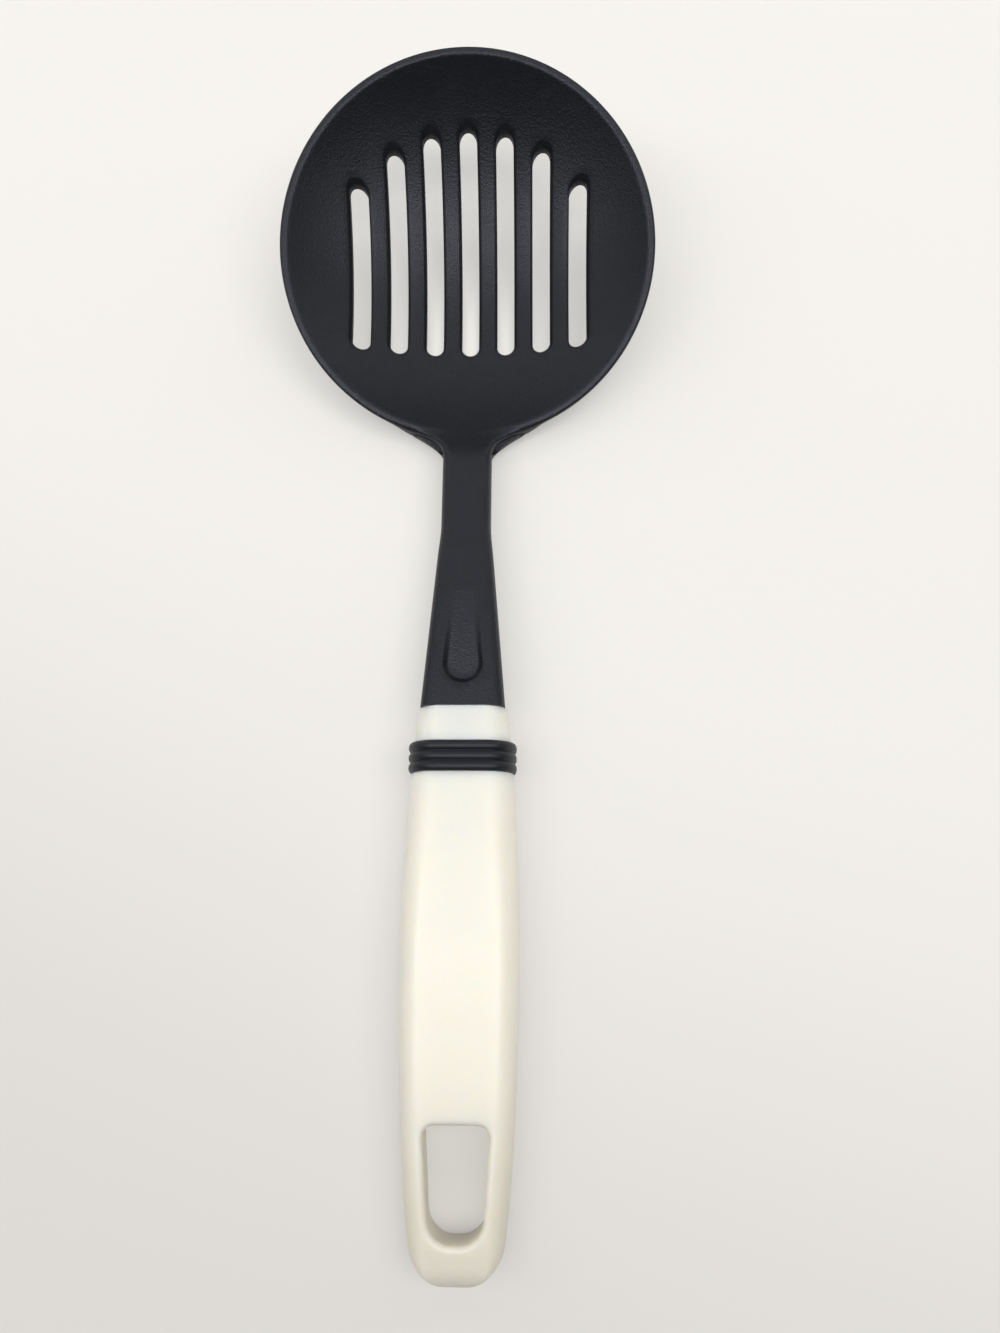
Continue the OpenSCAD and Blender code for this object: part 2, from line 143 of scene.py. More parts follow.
def shank_under(s):
    return along([(0, FACE_TOP - SHANK_END_T), (FLARE, shank_top(FLARE) - SHANK_T),
                  (CREASE, shank_top(CREASE) - SHANK_T), (NECK_IN, NECK_IN_Z - NECK_DEPTH),
                  (NECK_END, NECK_IN_Z - WALL * 1.3)], s)


def soft_min(a, b, r):
    """The smaller value, with the corner rounded over a range r."""
    h = clamp01(0.5 + 0.5 * (b - a) / r)
    return mix(b, a, h) - r * h * (1 - h)


def soft_max(a, b, r):
    return -soft_min(-a, -b, r)


def sphere_z(x, y, r):
    """Height of the dish's sphere of radius r."""
    d = r * r - x * x - (y - SPHERE_Y) ** 2
    return SPHERE_Z - math.sqrt(d) if d > 0 else SPHERE_Z


def rim_plane(y):
    return RIM_Z + (y - RIM_Y) * math.tan(TIP_UP)


def lip_z(y):
    """Height of the rim over the bowl, and of the top of the neck and shank behind it."""
    s = y - FACE_Y
    if s > NECK_IN + NECK_PAST:
        return rim_plane(y)
    slope = (shank_top(CREASE + NECK_L / 2) - NECK_IN_Z) / (NECK_L / 2)
    riser = shank_top(s) if s < NECK_IN else NECK_IN_Z - slope * (s - NECK_IN)
    return soft_max(riser, rim_plane(y), NECK_SOFT)


# Sunken panel on top of the shank: a teardrop with its round end near the handle.
PANEL_Y0, PANEL_L = FACE_Y + 6.2, 28.0
PANEL_W, PANEL_FAR_W, PANEL_DEPTH, PANEL_RAMP = 11.4, 7.6, 1.9, 1.15
PANEL_BULGE, PANEL_FAR_ROUND, PANEL_SIDE_STEPS = 0.03, 0.6, 18
PANEL_EDGE = ((0.0, 0.0), (0.15, 0.04), (0.35, 0.18), (1.15, 0.8), (1.4, 0.95), (1.7, 1.0))


def panel_outline(inset):
    """Outline of the panel, moved inwards by a distance."""
    r = PANEL_W / 2 - inset
    far = PANEL_FAR_W / 2 - inset
    cap = far * PANEL_FAR_ROUND
    yc, y1 = PANEL_Y0 + PANEL_W / 2, PANEL_Y0 + PANEL_L - inset
    right = [(r * math.sin(a), yc - r * math.cos(a)) for a in quarter(14)]
    for i in range(1, PANEL_SIDE_STEPS + 1):
        t = i / PANEL_SIDE_STEPS
        right.append((mix(r, far, t) + PANEL_BULGE * math.sin(math.pi * t), mix(yc, y1 - cap, t)))
    right += [(far * math.cos(a), y1 - cap + cap * math.sin(a)) for a in quarter(6)[1:-1]]
    return right + [(0.0, y1)] + [(-x, y) for x, y in reversed(right[1:])]


def panel_depth(y):
    return PANEL_DEPTH * clamp01((PANEL_Y0 + PANEL_L - y) / PANEL_L) ** PANEL_RAMP


def inside(p, loop):
    """Whether a point lies within a closed outline in plan."""
    hit = False
    j = len(loop) - 1
    for i in range(len(loop)):
        (xi, yi), (xj, yj) = loop[i], loop[j]
        if (yi > p[1]) != (yj > p[1]) and p[0] < (xj - xi) * (p[1] - yi) / (yj - yi) + xi:
            hit = not hit
        j = i
    return hit


LIP_SOFT, UNDER_SOFT = 0.45, 0.8
UNDER_RISE, UNDER_CURL, UNDER_BEND = 0.35, 1.4, 1.5


def top_z(x, y):
    return soft_min(sphere_z(x, y, IN_R), lip_z(y), LIP_SOFT)


def under_z(x, y):
    """Underside: the bowl's sphere, blended into the underside of the neck, which curls up at its sides."""
    s = y - FACE_Y
    out = sphere_z(x, y, OUT_R)
    if s > NECK_END + NECK_PAST:
        return out
    half = shank_half(s) + WEB_OUT - BELLY_R
    low = shank_under(s) + max(0.0, s - NECK_END) * UNDER_RISE
    low += UNDER_CURL * max(0.0, abs(x) - half) ** UNDER_BEND
    return low if s < JOIN - 1 else soft_min(out, low, UNDER_SOFT)


# Slots: the wall's outline, and the steps (outwards, down) of the wide broken edge round it.
SLOT_W, SLOT_PITCH, SLOT_COUNT = 5.3, 11.0, 7
SLOT_EDGE = ((0.95, 0.0), (0.85, 0.03), (0.70, 0.12), (0.15, 0.58), (0.0, 0.80))
SLOT_LOW_ROLL, SLOT_STEP, SLOT_TURN = 0.3, 1.1, 16
ARC_R, ARC_BACK, SLOT_NEAR, SLOT_BOW = RIM_R - 12.0, 3.55, 20.9, 1.4


def slot_loop(x0, grow):
    """Outline of a slot with round ends, grown outwards by a distance."""
    r = SLOT_W / 2
    far = RIM_Y - ARC_BACK + math.sqrt(ARC_R ** 2 - x0 * x0) - r
    near = RIM_Y - SLOT_NEAR - SLOT_BOW * (x0 / (SLOT_PITCH * 3)) ** 2 + r
    r += grow
    n = int((far - near) / SLOT_STEP)
    pts = []
    for y0, y1, start, side in ((far, near, 0.0, -r), (near, far, math.pi, r)):
        for i in range(SLOT_TURN + 1):
            a = start + math.pi * i / SLOT_TURN
            pts.append((x0 + r * math.cos(a), y0 + r * math.sin(a)))
        pts += [(x0 + side, mix(y0, y1, i / n)) for i in range(1, n)]
    return pts


# Outline of the moulding seen from above, from the handle up the right side,
# round the rim and down the left side, with a cross-section at every station.
EDGE_TURN = 5
RIM_WALL = (0.1, 0.25, 0.4, 0.55, 0.7, 0.85)
RIM_LOW = (0.15, 0.6, 1.3)


def rim_point(theta, rho, h):
    """Point at an angle and a distance round the bowl's own axis, and a height over its rim."""
    y = rho * math.cos(theta)
    return Vector((rho * math.sin(theta), RIM_Y + y * math.cos(TIP_UP) - h * math.sin(TIP_UP),
                   RIM_Z + y * math.sin(TIP_UP) + h * math.cos(TIP_UP)))


def rim_profile(theta):
    r = RIM_ROUND
    low = RISE - math.sqrt(OUT_R ** 2 - RIM_R ** 2)
    pts = [(RIM_R - r + r * math.sin(a), -r + r * math.cos(a)) for a in quarter(EDGE_TURN)]
    pts += [(RIM_R, mix(-r, low, t)) for t in RIM_WALL]
    pts += [(RIM_R - d, RISE - math.sqrt(OUT_R ** 2 - (RIM_R - d) ** 2)) for d in RIM_LOW]
    return [rim_point(theta, rho, h) for rho, h in pts]


# Roundings of the neck's side, as shares of its thickness where that is small.
RIM_SHOULDER, SHOULDER_MAX, BELLY_MAX, BELLY_LOSS, ROLL_MID = RIM_ROUND * 1.4, 0.4, 0.3, 0.4, 0.3
# The web beside the neck: how it swells along the fillet, and the shelf on top of it.
WEB_START, WEB_SKEW, WEB_FULL, WEB_R_MAX, WEB_CLEAR = 0.15, 1.1, 0.8, 0.12, 0.35
WALL_AT, WEB_AT, SHELF_FALL, SHELF_MAX = 0.8, (0.12, 0.5, 0.97), 0.12, 0.3
LIP_IN, LIP_UP, LIP_OUT, LIP_DOWN = 0.16, 0.02, 0.04, 0.1


def neck_profile(p, inward, s):
    """Section of the neck's side: rounded shoulder, wall, the small web that joins the rim, and underside."""
    zt, zb, k = lip_z(p[1]), shank_under(s), spread(s)
    t = zt - zb
    web_k = clamp01((k - WEB_START) / (1 - WEB_START))
    bump = math.sin(math.pi * web_k ** WEB_SKEW) ** WEB_FULL
    r = min(mix(SHOULDER_R, RIM_SHOULDER, math.sqrt(k)), SHOULDER_MAX * t)
    low_r, web_r = min(BELLY_R, BELLY_MAX * t) * (1 - BELLY_LOSS * bump), min(RIM_ROUND, WEB_R_MAX * t)
    lip, out, low_z = WEB_BACK * bump, WEB_OUT * bump, zb + low_r
    web_z = mix(min(zt - WEB_DROP, zt - r - web_r / 2), WEB_TOP - WEB_FALL * (1 - k), ease(bump))
    web_z = max(low_z + WEB_CLEAR, web_z)
    pts = [(lip + r * (1 - math.sin(a)), zt - r * (1 - math.cos(a))) for a in quarter(EDGE_TURN)]
    pts += [(lip, mix(zt - r, web_z, WALL_AT)), (lip + LIP_IN * bump, web_z + LIP_UP),
            (lip - LIP_OUT * bump, web_z - LIP_DOWN)]
    shelf = min(SHELF_FALL, (web_z - low_z) * SHELF_MAX)
    pts += [(mix(lip, -out, t), web_z - LIP_DOWN - shelf * t) for t in WEB_AT]
    pts += [(-out, low_z), (-out + low_r * ROLL_MID, zb + low_r * ROLL_MID), (-out + low_r, zb)]
    made = []
    for i, (o, z) in enumerate(pts):
        y = p[1] + inward[1] * o
        lift = lip_z(y) - zt if i <= EDGE_TURN else 0.0
        made.append(Vector((p[0] + inward[0] * o, y, z + lift)))
    return made


SHANK_FIRST, SHANK_STEP, SHANK_ROWS, FILLET_STEPS, RIM_STEPS = 0.5, 1.2, 60, 26, 330
BLEND_X, BLEND_OVER, STRAIGHT_BEFORE = 15.5, 9, 5
side = [0.0, SHANK_FIRST] + [SHANK_STEP * i for i in range(1, SHANK_ROWS + 1)]
side += [mix(FILLET_FROM, JOIN, i / FILLET_STEPS) for i in range(FILLET_STEPS)]
stations = [((shank_half(s), FACE_Y + s), s, None) for s in side]
theta_join = math.pi - math.asin(JOIN_W / 2 / RIM_R)
for i in range(RIM_STEPS + 1):
    th = mix(theta_join, -theta_join, i / RIM_STEPS)
    q = rim_point(th, RIM_R, 0)
    stations.append(((q.x, q.y), q.y - FACE_Y, th))
stations += [((-shank_half(s), FACE_Y + s), s, None) for s in reversed(side)]

bands = []
for i, (p, s, th) in enumerate(stations):
    a = stations[max(0, i - 1)][0]
    b = stations[min(len(stations) - 1, i + 1)][0]
    d = Vector((b[0] - a[0], b[1] - a[1])).normalized()
    inward = (-d.y, d.x)
    if th is None and s < FILLET_FROM - STRAIGHT_BEFORE:
        inward = (-math.copysign(1, p[0]), 0.0)
    w = 0.0 if th is None else ease((abs(p[0]) - BLEND_X) / BLEND_OVER) if math.cos(th) < 0 else 1.0
    row = rim_profile(th) if th is not None else None
    if w < 1:
        neck = neck_profile(p, inward, min(s, JOIN))
        row = [n.lerp(r, w) for n, r in zip(neck, row)] if row else neck
    bands.append(row)


CORNER = math.radians(60)  # steeper edges are shaded sharp
HEX_ROW, CLEARANCE, SAME = 0.866, 0.62, 1e-7


class Shell:
    """Vertices and faces of one mesh, in millimetres."""

    def __init__(self):
        self.verts, self.faces = [], []

    def add(self, p):
        self.verts.append(tuple(p))
        return len(self.verts) - 1

    def loop(self, pts):
        return [self.add(p) for p in pts]

    def strip(self, a, b, closed=True):
        n = len(a)
        for i in range(n if closed else n - 1):
            j = (i + 1) % n
            self.faces.append((a[i], a[j], b[j], b[i]))

    def sheet(self, outer, holes, folds, height, spacing, flip):
        """Fills the plan inside the outer loop and outside the holes, on a given height.

        Folds are closed loops that the mesh keeps as edges."""
        ids, pts, edges = [], [], []
        for ring in [outer] + holes + folds:
            start = len(pts)
            for v in ring:
                ids.append(v)
                pts.append(self.verts[v][:2])
            n = len(ring)
            edges += [(start + i, start + (i + 1) % n) for i in range(n)]
        walls = [[self.verts[v][:2] for v in ring] for ring in [outer] + holes]
        boxes = [(min(q[0] for q in w), max(q[0] for q in w), min(q[1] for q in w), max(q[1] for q in w))
                 for w in walls]

        def within(p):
            if not inside(p, walls[0]):
                return False
            for w, (x0, x1, y0, y1) in zip(walls[1:], boxes[1:]):
                if x0 <= p[0] <= x1 and y0 <= p[1] <= y1 and inside(p, w):
                    return False
            return True

        tree = kdtree.KDTree(len(pts))
        for i, p in enumerate(pts):
            tree.insert((p[0], p[1], 0), i)
        tree.balance()
        x0, x1, y0, y1 = boxes[0]
        rows = int((y1 - y0) / (spacing * HEX_ROW)) + 1
        for j in range(rows):
            y = y0 + (j + 0.5) * spacing * HEX_ROW
            n = int((x1 - x0) / spacing) + 2
            for i in range(n):
                x = (i - n / 2 + (0.25 if j % 2 else -0.25)) * spacing
                if tree.find((x, y, 0))[2] > spacing * CLEARANCE and within((x, y)):
                    ids.append(self.add((x, y, height(x, y))))
                    pts.append((x, y))
        made, _, faces, origin, _, _ = delaunay_2d_cdt([Vector(p) for p in pts], edges, [], 0, SAME)
        back = [o[0] if o else None for o in origin]
        for f in faces:
            if any(back[v] is None for v in f):
                continue
            c = sum((made[v] for v in f), Vector((0, 0))) / len(f)
            if within(c):
                tri = [ids[back[v]] for v in f]
                self.faces.append(tuple(reversed(tri)) if flip else tuple(tri))

    def object(self, name):
        """Closed mesh object with its faces turned outwards."""
        mesh = bpy.data.meshes.new(name)
        mesh.from_pydata([(x * MM, y * MM, z * MM) for x, y, z in self.verts], [], self.faces)
        bm = bmesh.new()
        bm.from_mesh(mesh)
        bmesh.ops.remove_doubles(bm, verts=bm.verts, dist=SAME)
        loose = [v for v in bm.verts if not v.link_faces]
        bmesh.ops.delete(bm, geom=loose, context="VERTS")
        bmesh.ops.recalc_face_normals(bm, faces=bm.faces)
        for e in bm.edges:
            e.smooth = e.calc_face_angle(0.0) < CORNER
        bm.to_mesh(mesh)
        bm.free()
        mesh.shade_smooth()
        obj = bpy.data.objects.new(name, mesh)
        bpy.context.scene.collection.objects.link(obj)
        return obj


END_STEPS = 12
head = Shell()
columns = [head.loop(column) for column in zip(*bands)]
for a, b in zip(columns, columns[1:]):
    head.strip(a, b, closed=False)


def end_row(a, b, z):
    """Points between the two corners of the end face against the collar."""
    x0, x1, y = head.verts[a][0], head.verts[b][0], head.verts[a][1]
    return [head.add((mix(x0, x1, i / END_STEPS), y, z)) for i in range(1, END_STEPS)]


top_end = end_row(columns[0][-1], columns[0][0], lip_z(FACE_Y))
low_end = end_row(columns[-1][-1], columns[-1][0], shank_under(0))
last = [c[0] for c in columns] + low_end[::-1] + [c[-1] for c in reversed(columns)] + top_end

# The tang grows out of the end face. Its far end is chamfered, in steps (inwards, from the end).
TANG_W, TANG_T, TANG_L, TANG_Z = 13.0, 5.6, 60.0, FACE_TOP - SHANK_END_T / 2
TANG_END = ((0.0, TANG_L), (0.0, 1.2), (0.35, 0.35), (1.2, 0.0))
SQUARENESS = 8


def tang_outline(around, inset):
    """Section of the tang, with one point in line with each point of the loop around it."""
    pts = []
    for x, z in around:
        dx, dz = x / (TANG_W / 2 - inset), (z - TANG_Z) / (TANG_T / 2 - inset)
        k = (abs(dx) ** SQUARENESS + abs(dz) ** SQUARENESS) ** (-1 / SQUARENESS)
        pts.append((x * k, TANG_Z + (z - TANG_Z) * k))
    return pts


around = [(head.verts[v][0], head.verts[v][2]) for v in last]
for inset, left in TANG_END:
    tongue = head.loop([(x, FACE_Y - (TANG_L - left), z) for x, z in tang_outline(around, inset)])
    head.strip(last, tongue)
    last = tongue
head.faces.append(tuple(last))

slot_tops, slot_lows = [], []
for i in range(SLOT_COUNT):
    x0 = SLOT_PITCH * (i - (SLOT_COUNT - 1) / 2)
    rings = []
    for grow, drop in SLOT_EDGE:
        rings.append(head.loop([(x, y, top_z(x, y) - drop) for x, y in slot_loop(x0, grow)]))
    for a in reversed(quarter(2)):
        line = slot_loop(x0, SLOT_LOW_ROLL * (1 - math.sin(a)))
        up = SLOT_LOW_ROLL * (1 - math.cos(a))
        rings.append(head.loop([(x, y, under_z(x, y) + up) for x, y in line]))
    for a, b in zip(rings, rings[1:]):
        head.strip(a, b)
    slot_tops.append(rings[0])
    slot_lows.append(rings[-1])


def fold_loop(rho, sphere_r, n, height):
    """Closed loop round the bowl's own axis, on a sphere of the dish or on the flat rim."""
    h = 0.0 if rho >= LIP_R else RISE - math.sqrt(sphere_r ** 2 - rho ** 2)
    pts = [rim_point(2 * math.pi * i / n, rho, h) for i in range(n)]
    return head.loop([(p.x, p.y, height(p.x, p.y)) for p in pts])


FOLDS, FOLD_STEPS = (46.0, 50.0, 51.6, 52.2, 52.6, 52.9, 53.2, 53.6), 300
LOW_FOLDS, LOW_FOLD_STEPS = (48.0, 51.0), 220
TOP_GRID, LOW_GRID, PANEL_GRID = 1.5, 1.9, 1.3
folds = [fold_loop(rho, IN_R, FOLD_STEPS, top_z) for rho in FOLDS]
panel_rings = [head.loop([(x, y, top_z(x, y) - panel_depth(y) * share) for x, y in panel_outline(inset)])
               for inset, share in PANEL_EDGE]
for a, b in zip(panel_rings, panel_rings[1:]):
    head.strip(a, b)
head.sheet(panel_rings[-1], [], [], lambda x, y: top_z(x, y) - panel_depth(y), PANEL_GRID, False)
head.sheet(columns[0] + top_end, slot_tops + [panel_rings[0]], folds, top_z, TOP_GRID, False)
low_folds = [fold_loop(rho, OUT_R, LOW_FOLD_STEPS, under_z) for rho in LOW_FOLDS]
head.sheet(columns[-1] + low_end, slot_lows, low_folds, under_z, LOW_GRID, True)
spoon_head = head.object("spoon_head_moulding")


def wire(tree, node, inputs):
    """Links the inputs that are given as sockets, and sets those given as plain values."""
    for key, value in inputs.items():
        if isinstance(value, bpy.types.NodeSocket):
            tree.links.new(value, node.inputs[key])
        else:
            node.inputs[key].default_value = value
    return node


def add_node(tree, kind, inputs, **settings):
    node = tree.nodes.new(kind)
    for key, value in settings.items():
        setattr(node, key, value)
    return wire(tree, node, inputs)


SPECK_R = 0.16  # share of the distance between specks
SCUFF_STRETCH, SCUFF_TURN, SCUFF_RANGE = (60, 1400, 200), (0, 0, 0.5), (0.62, 0.75)


def grain_group():
    """Fine moulded grain, slow unevenness and sparse specks, on the object's own coordinates."""
    g = bpy.data.node_groups.new("moulded_grain", "ShaderNodeTree")
    for name, value in (("Grain Scale", 2600.0), ("Patch Scale", 60.0), ("Speck Scale", 420.0),
                        ("Speck Share", 0.06)):
        s = g.interface.new_socket(name=name, in_out="INPUT", socket_type="NodeSocketFloat")
        s.default_value = value
    for name in ("Grain", "Patch", "Specks", "Scuffs"):
        g.interface.new_socket(name=name, in_out="OUTPUT", socket_type="NodeSocketFloat")
    start, end = g.nodes.new("NodeGroupInput"), g.nodes.new("NodeGroupOutput")
    here = g.nodes.new("ShaderNodeTexCoord").outputs["Object"]
    fine = add_node(g, "ShaderNodeTexNoise", {"Vector": here, "Scale": start.outputs["Grain Scale"],
                                              "Detail": 2.0, "Roughness": 0.6})
    slow = add_node(g, "ShaderNodeTexNoise", {"Vector": here, "Scale": start.outputs["Patch Scale"],
                                              "Detail": 3.0, "Roughness": 0.55})
    cells = add_node(g, "ShaderNodeTexVoronoi", {"Vector": here, "Scale": start.outputs["Speck Scale"]},
                     feature="F1")
    near = add_node(g, "ShaderNodeMath", {0: cells.outputs["Distance"], 1: SPECK_R}, operation="LESS_THAN")
    pick = add_node(g, "ShaderNodeSeparateColor", {"Color": cells.outputs["Color"]})
    rare = add_node(g, "ShaderNodeMath", {0: pick.outputs["Red"], 1: start.outputs["Speck Share"]},
                    operation="LESS_THAN")
    specks = add_node(g, "ShaderNodeMath", {0: near.outputs[0], 1: rare.outputs[0]}, operation="MULTIPLY")
    stretch = add_node(g, "ShaderNodeMapping", {"Vector": here, "Rotation": SCUFF_TURN,
                                                "Scale": SCUFF_STRETCH})
    lines = add_node(g, "ShaderNodeTexNoise", {"Vector": stretch.outputs["Vector"], "Scale": 1.0,
                                               "Detail": 1.0})
    thin = add_node(g, "ShaderNodeMapRange", {"Value": lines.outputs["Fac"], "From Min": SCUFF_RANGE[0],
                                              "From Max": SCUFF_RANGE[1]})
    wire(g, end, {"Grain": fine.outputs["Fac"], "Patch": slow.outputs["Fac"],
                  "Specks": specks.outputs[0], "Scuffs": thin.outputs["Result"]})
    return g


moulded_grain = grain_group()
GLOW_RADIUS, GLOW_DEPTH = (1.0, 0.85, 0.6), 0.006


def plastic(name, dark, light, speck, rough, bump, scales, speck_share, specular=0.5,
            glow=0.0, wear=0.08, tint=(1.0, 1.0, 1.0)):
    """Moulded plastic: two close tones in slow patches, specks, and fine grain as bump."""
    m = bpy.data.materials.new(name)
    m.use_nodes = True
    t = m.node_tree
    grain = add_node(t, "ShaderNodeGroup", {}, node_tree=moulded_grain)
    wire(t, grain, {"Grain Scale": scales[0], "Patch Scale": scales[1], "Speck Scale": scales[2],
                    "Speck Share": speck_share})
    tone = add_node(t, "ShaderNodeMix", {"Factor": grain.outputs["Patch"], "A": (*dark, 1),
                                         "B": (*light, 1)}, data_type="RGBA")
    dust = add_node(t, "ShaderNodeMix", {"Factor": grain.outputs["Specks"], "A": tone.outputs["Result"],
                                         "B": (*speck, 1)}, data_type="RGBA")
    gloss = add_node(t, "ShaderNodeMapRange", {"Value": grain.outputs["Patch"], "To Min": rough[0],
                                               "To Max": rough[1]})
    worn = add_node(t, "ShaderNodeMath", {0: grain.outputs["Scuffs"], 1: wear, 2: gloss.outputs["Result"]},
                    operation="MULTIPLY_ADD")
    relief = add_node(t, "ShaderNodeBump", {"Strength": bump[0], "Distance": bump[1],
                                            "Height": grain.outputs["Grain"]})
    shader = wire(t, t.nodes["Principled BSDF"], {
        "Base Color": dust.outputs["Result"], "Roughness": worn.outputs[0],
        "Normal": relief.outputs["Normal"]})
    shader.inputs["Specular IOR Level"].default_value = specular
    shader.inputs["Specular Tint"].default_value = (*tint, 1)
    shader.inputs["Subsurface Weight"].default_value = glow
    shader.inputs["Subsurface Radius"].default_value = GLOW_RADIUS
    shader.inputs["Subsurface Scale"].default_value = GLOW_DEPTH
    return m


COOL = (0.82, 0.87, 1.0)  # the black pieces mirror the room a little bluer
black_nylon = plastic("black_nylon", dark=(0.0040, 0.0044, 0.0058), light=(0.0058, 0.0064, 0.0084),
                      speck=(0.035, 0.035, 0.04), rough=(0.38, 0.46), bump=(0.9, 0.00015),
                      scales=(1700.0, 70.0, 900.0), speck_share=0.004, specular=0.53, tint=COOL)
spoon_head.data.materials.append(black_nylon)
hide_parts("spoon_head")
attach(spoon_head, "root")

# Handle: one ivory plastic moulding with a collar, a groove for the ring, a
# crowned top between two soft creases and a hanging hole through its end.
# Its socket holds the tang of the head.
BELLY_AT, BELLY_W, BELLY_T = 79.0, 31.4, 19.2
BUTT_W, BUTT_T, BUTT_ROUND, BUTT_POWER = 21.8, 12.6, 9.8, 2.3
WAIST_W, COLLAR_W, COLLAR_L, RING_L, GROOVE = 28.0, 24.4, 9.7, 8.3, 1.5
GROOVE_0 = HANDLE_L - COLLAR_L - RING_L
GROOVE_1 = GROOVE_0 + RING_L
TOP_FACE, TOP_FACE_MIN, TOP_SHARE = 20.4, 0.36, 0.8
SEAM, UPRIGHT, CROWN = 0.47, 0.08, 1.15


def grip_half(y):
    """Half the width at a distance from the butt."""
    return along([(0, BUTT_W / 2), (BELLY_AT * 0.27, mix(BUTT_W, BELLY_W, 0.52) / 2),
                  (BELLY_AT * 0.57, mix(BUTT_W, BELLY_W, 0.82) / 2), (BELLY_AT, BELLY_W / 2),
                  (GROOVE_0, WAIST_W / 2), (HANDLE_L, COLLAR_W / 2)], y)


def grip_top(y):
    return along([(0, BUTT_T), (BELLY_AT * 0.4, mix(BUTT_T, BELLY_T, 0.65)), (BELLY_AT, BELLY_T),
                  (GROOVE_0, WAIST_Z + WAIST_T), (GROOVE_1, WAIST_Z + WAIST_T - RING_L / 9),
                  (HANDLE_L, COLLAR_Z + COLLAR_T)], y)


def grip_under(y):
    return along([(0, BUTT_T * 0.16), (BELLY_AT * 0.3, 0), (BELLY_AT * 1.2, 0), (GROOVE_0, WAIST_Z),
                  (GROOVE_1, WAIST_Z), (HANDLE_L, COLLAR_Z)], y)


def butt_cap(y, r):
    """Share of its full size that the section has reached in the rounded butt."""
    return 1.0 if y >= r else (1 - ((r - y) / r) ** BUTT_POWER) ** (1 / BUTT_POWER)


def grip_shape(y, inset=0.0):
    """Sizes of the section at a distance from the butt: flat, half width, top, underside, middle, bend."""
    cap, cap_z = butt_cap(y, BUTT_ROUND), butt_cap(y, BUTT_T / 2)
    half = grip_half(y) * cap - inset
    top, low = grip_top(y), grip_under(y)
    mid = mix(low, top, SEAM)
    fade = clamp01((GROOVE_0 - y) / (GROOVE_0 - BELLY_AT))
    zt, zb = mix(mid, top, cap_z) - inset, mix(mid, low, cap_z) + inset
    flat = mix(TOP_FACE * TOP_FACE_MIN, TOP_FACE / 2, fade) * min(cap, grip_half(y) / (BELLY_W / 2))
    return min(flat, half * TOP_SHARE), half, zt, zb, mid, mix(1, CROWN, fade)


SIDE, TOP_N, LOW_N = 14, 14, 8  # steps of each rounded quarter, the flat top and the underside


def grip_section(y, inset=0.0):
    """Closed section, from the middle of the underside up the right side and down the left."""
    flat, half, zt, zb, mid, bend = grip_shape(y, inset)
    zu, zl = mix(mid, zt, UPRIGHT), mix(mid, zb, UPRIGHT)
    pts = [(mix(0, half / 2, i / (LOW_N / 2)), zb) for i in range(LOW_N // 2)]
    for i in range(SIDE):
        a = -math.pi / 2 + math.pi / 2 * i / SIDE
        pts.append((half / 2 + half / 2 * math.cos(a), zl + (zl - zb) * math.sin(a)))
    for a in quarter(SIDE):
        c, s = max(0.0, math.cos(a)), math.sin(a)
        pts.append((flat + (half - flat) * c ** bend, zu + (zt - zu) * s ** bend))
    pts += [(mix(flat, 0, i / (TOP_N / 2)), zt) for i in range(1, TOP_N // 2)]
    return pts + [(0.0, zt)] + [(-x, z) for x, z in reversed(pts[1:])]


def grip_top_z(x, y):
    """Height of the top of the grip, with y from the butt."""
    flat, half, zt, zb, mid, bend = grip_shape(y)
    if abs(x) <= flat:
        return zt
    zu = mix(mid, zt, UPRIGHT)
    c = clamp01((abs(x) - flat) / (half - flat)) ** (1 / bend)
    return zu + (zt - zu) * math.sqrt(max(0.0, 1 - c * c)) ** bend


def grip_low_z(x, y):
    """Height of its underside."""
    flat, half, zt, zb, mid, bend = grip_shape(y)
    if abs(x) <= half / 2:
        return zb
    zl = mix(mid, zb, UPRIGHT)
    c = clamp01((abs(x) - half / 2) / (half / 2))
    return zl - (zl - zb) * math.sqrt(max(0.0, 1 - c * c))


HOLE_L, HOLE_W, HOLE_NARROW, HOLE_R, HOLE_WEB = 27.8, 17.0, 13.1, 3.0, 10.6
HOLE_EDGE, HOLE_DRAFT, HOLE_BUTT_R = 1.4, 0.6, HOLE_NARROW * 0.47
HOLE_TURN, HOLE_SIDE, HOLE_END, SHORT = 14, 12, 6, 0.5


def hole_loop(grow):
    """Outline of the hanging hole, narrower and rounder towards the butt, grown by a distance."""
    n, w = HOLE_NARROW / 2 + grow, HOLE_W / 2 + grow
    y0, y1 = HOLE_WEB - grow, HOLE_WEB + HOLE_L + grow
    corners = [Vector(c) for c in ((-n, y0), (n, y0), (w, y1), (-w, y1))]
    radii = [HOLE_BUTT_R + grow] * 2 + [HOLE_R + grow] * 2
    pts = []
    for i, (p, r) in enumerate(zip(corners, radii)):
        u, v = (corners[i - 1] - p).normalized(), (corners[(i + 1) % 4] - p).normalized()
        half = math.acos(max(-1, min(1, u.dot(v)))) / 2
        c = p + (u + v).normalized() * r / math.sin(half)
        q = p + u * r / math.tan(half) - c
        a0, turn = math.atan2(q.y, q.x), math.pi - 2 * half
        angles = [a0 + turn * k / HOLE_TURN for k in range(HOLE_TURN + 1)]
        arc = [c + Vector((math.cos(a), math.sin(a))) * r for a in angles]
        if pts and (arc[0] - pts[-1]).length > SHORT:
            last, n_gap = pts[-1], HOLE_SIDE if i == 2 else HOLE_END
            pts += [last.lerp(arc[0], k / n_gap) for k in range(1, n_gap)]
        pts += arc
    last, first = pts[-1], pts[0]
    pts += [last.lerp(first, k / HOLE_SIDE) for k in range(1, HOLE_SIDE)]
    return [(p.x, p.y) for p in pts]


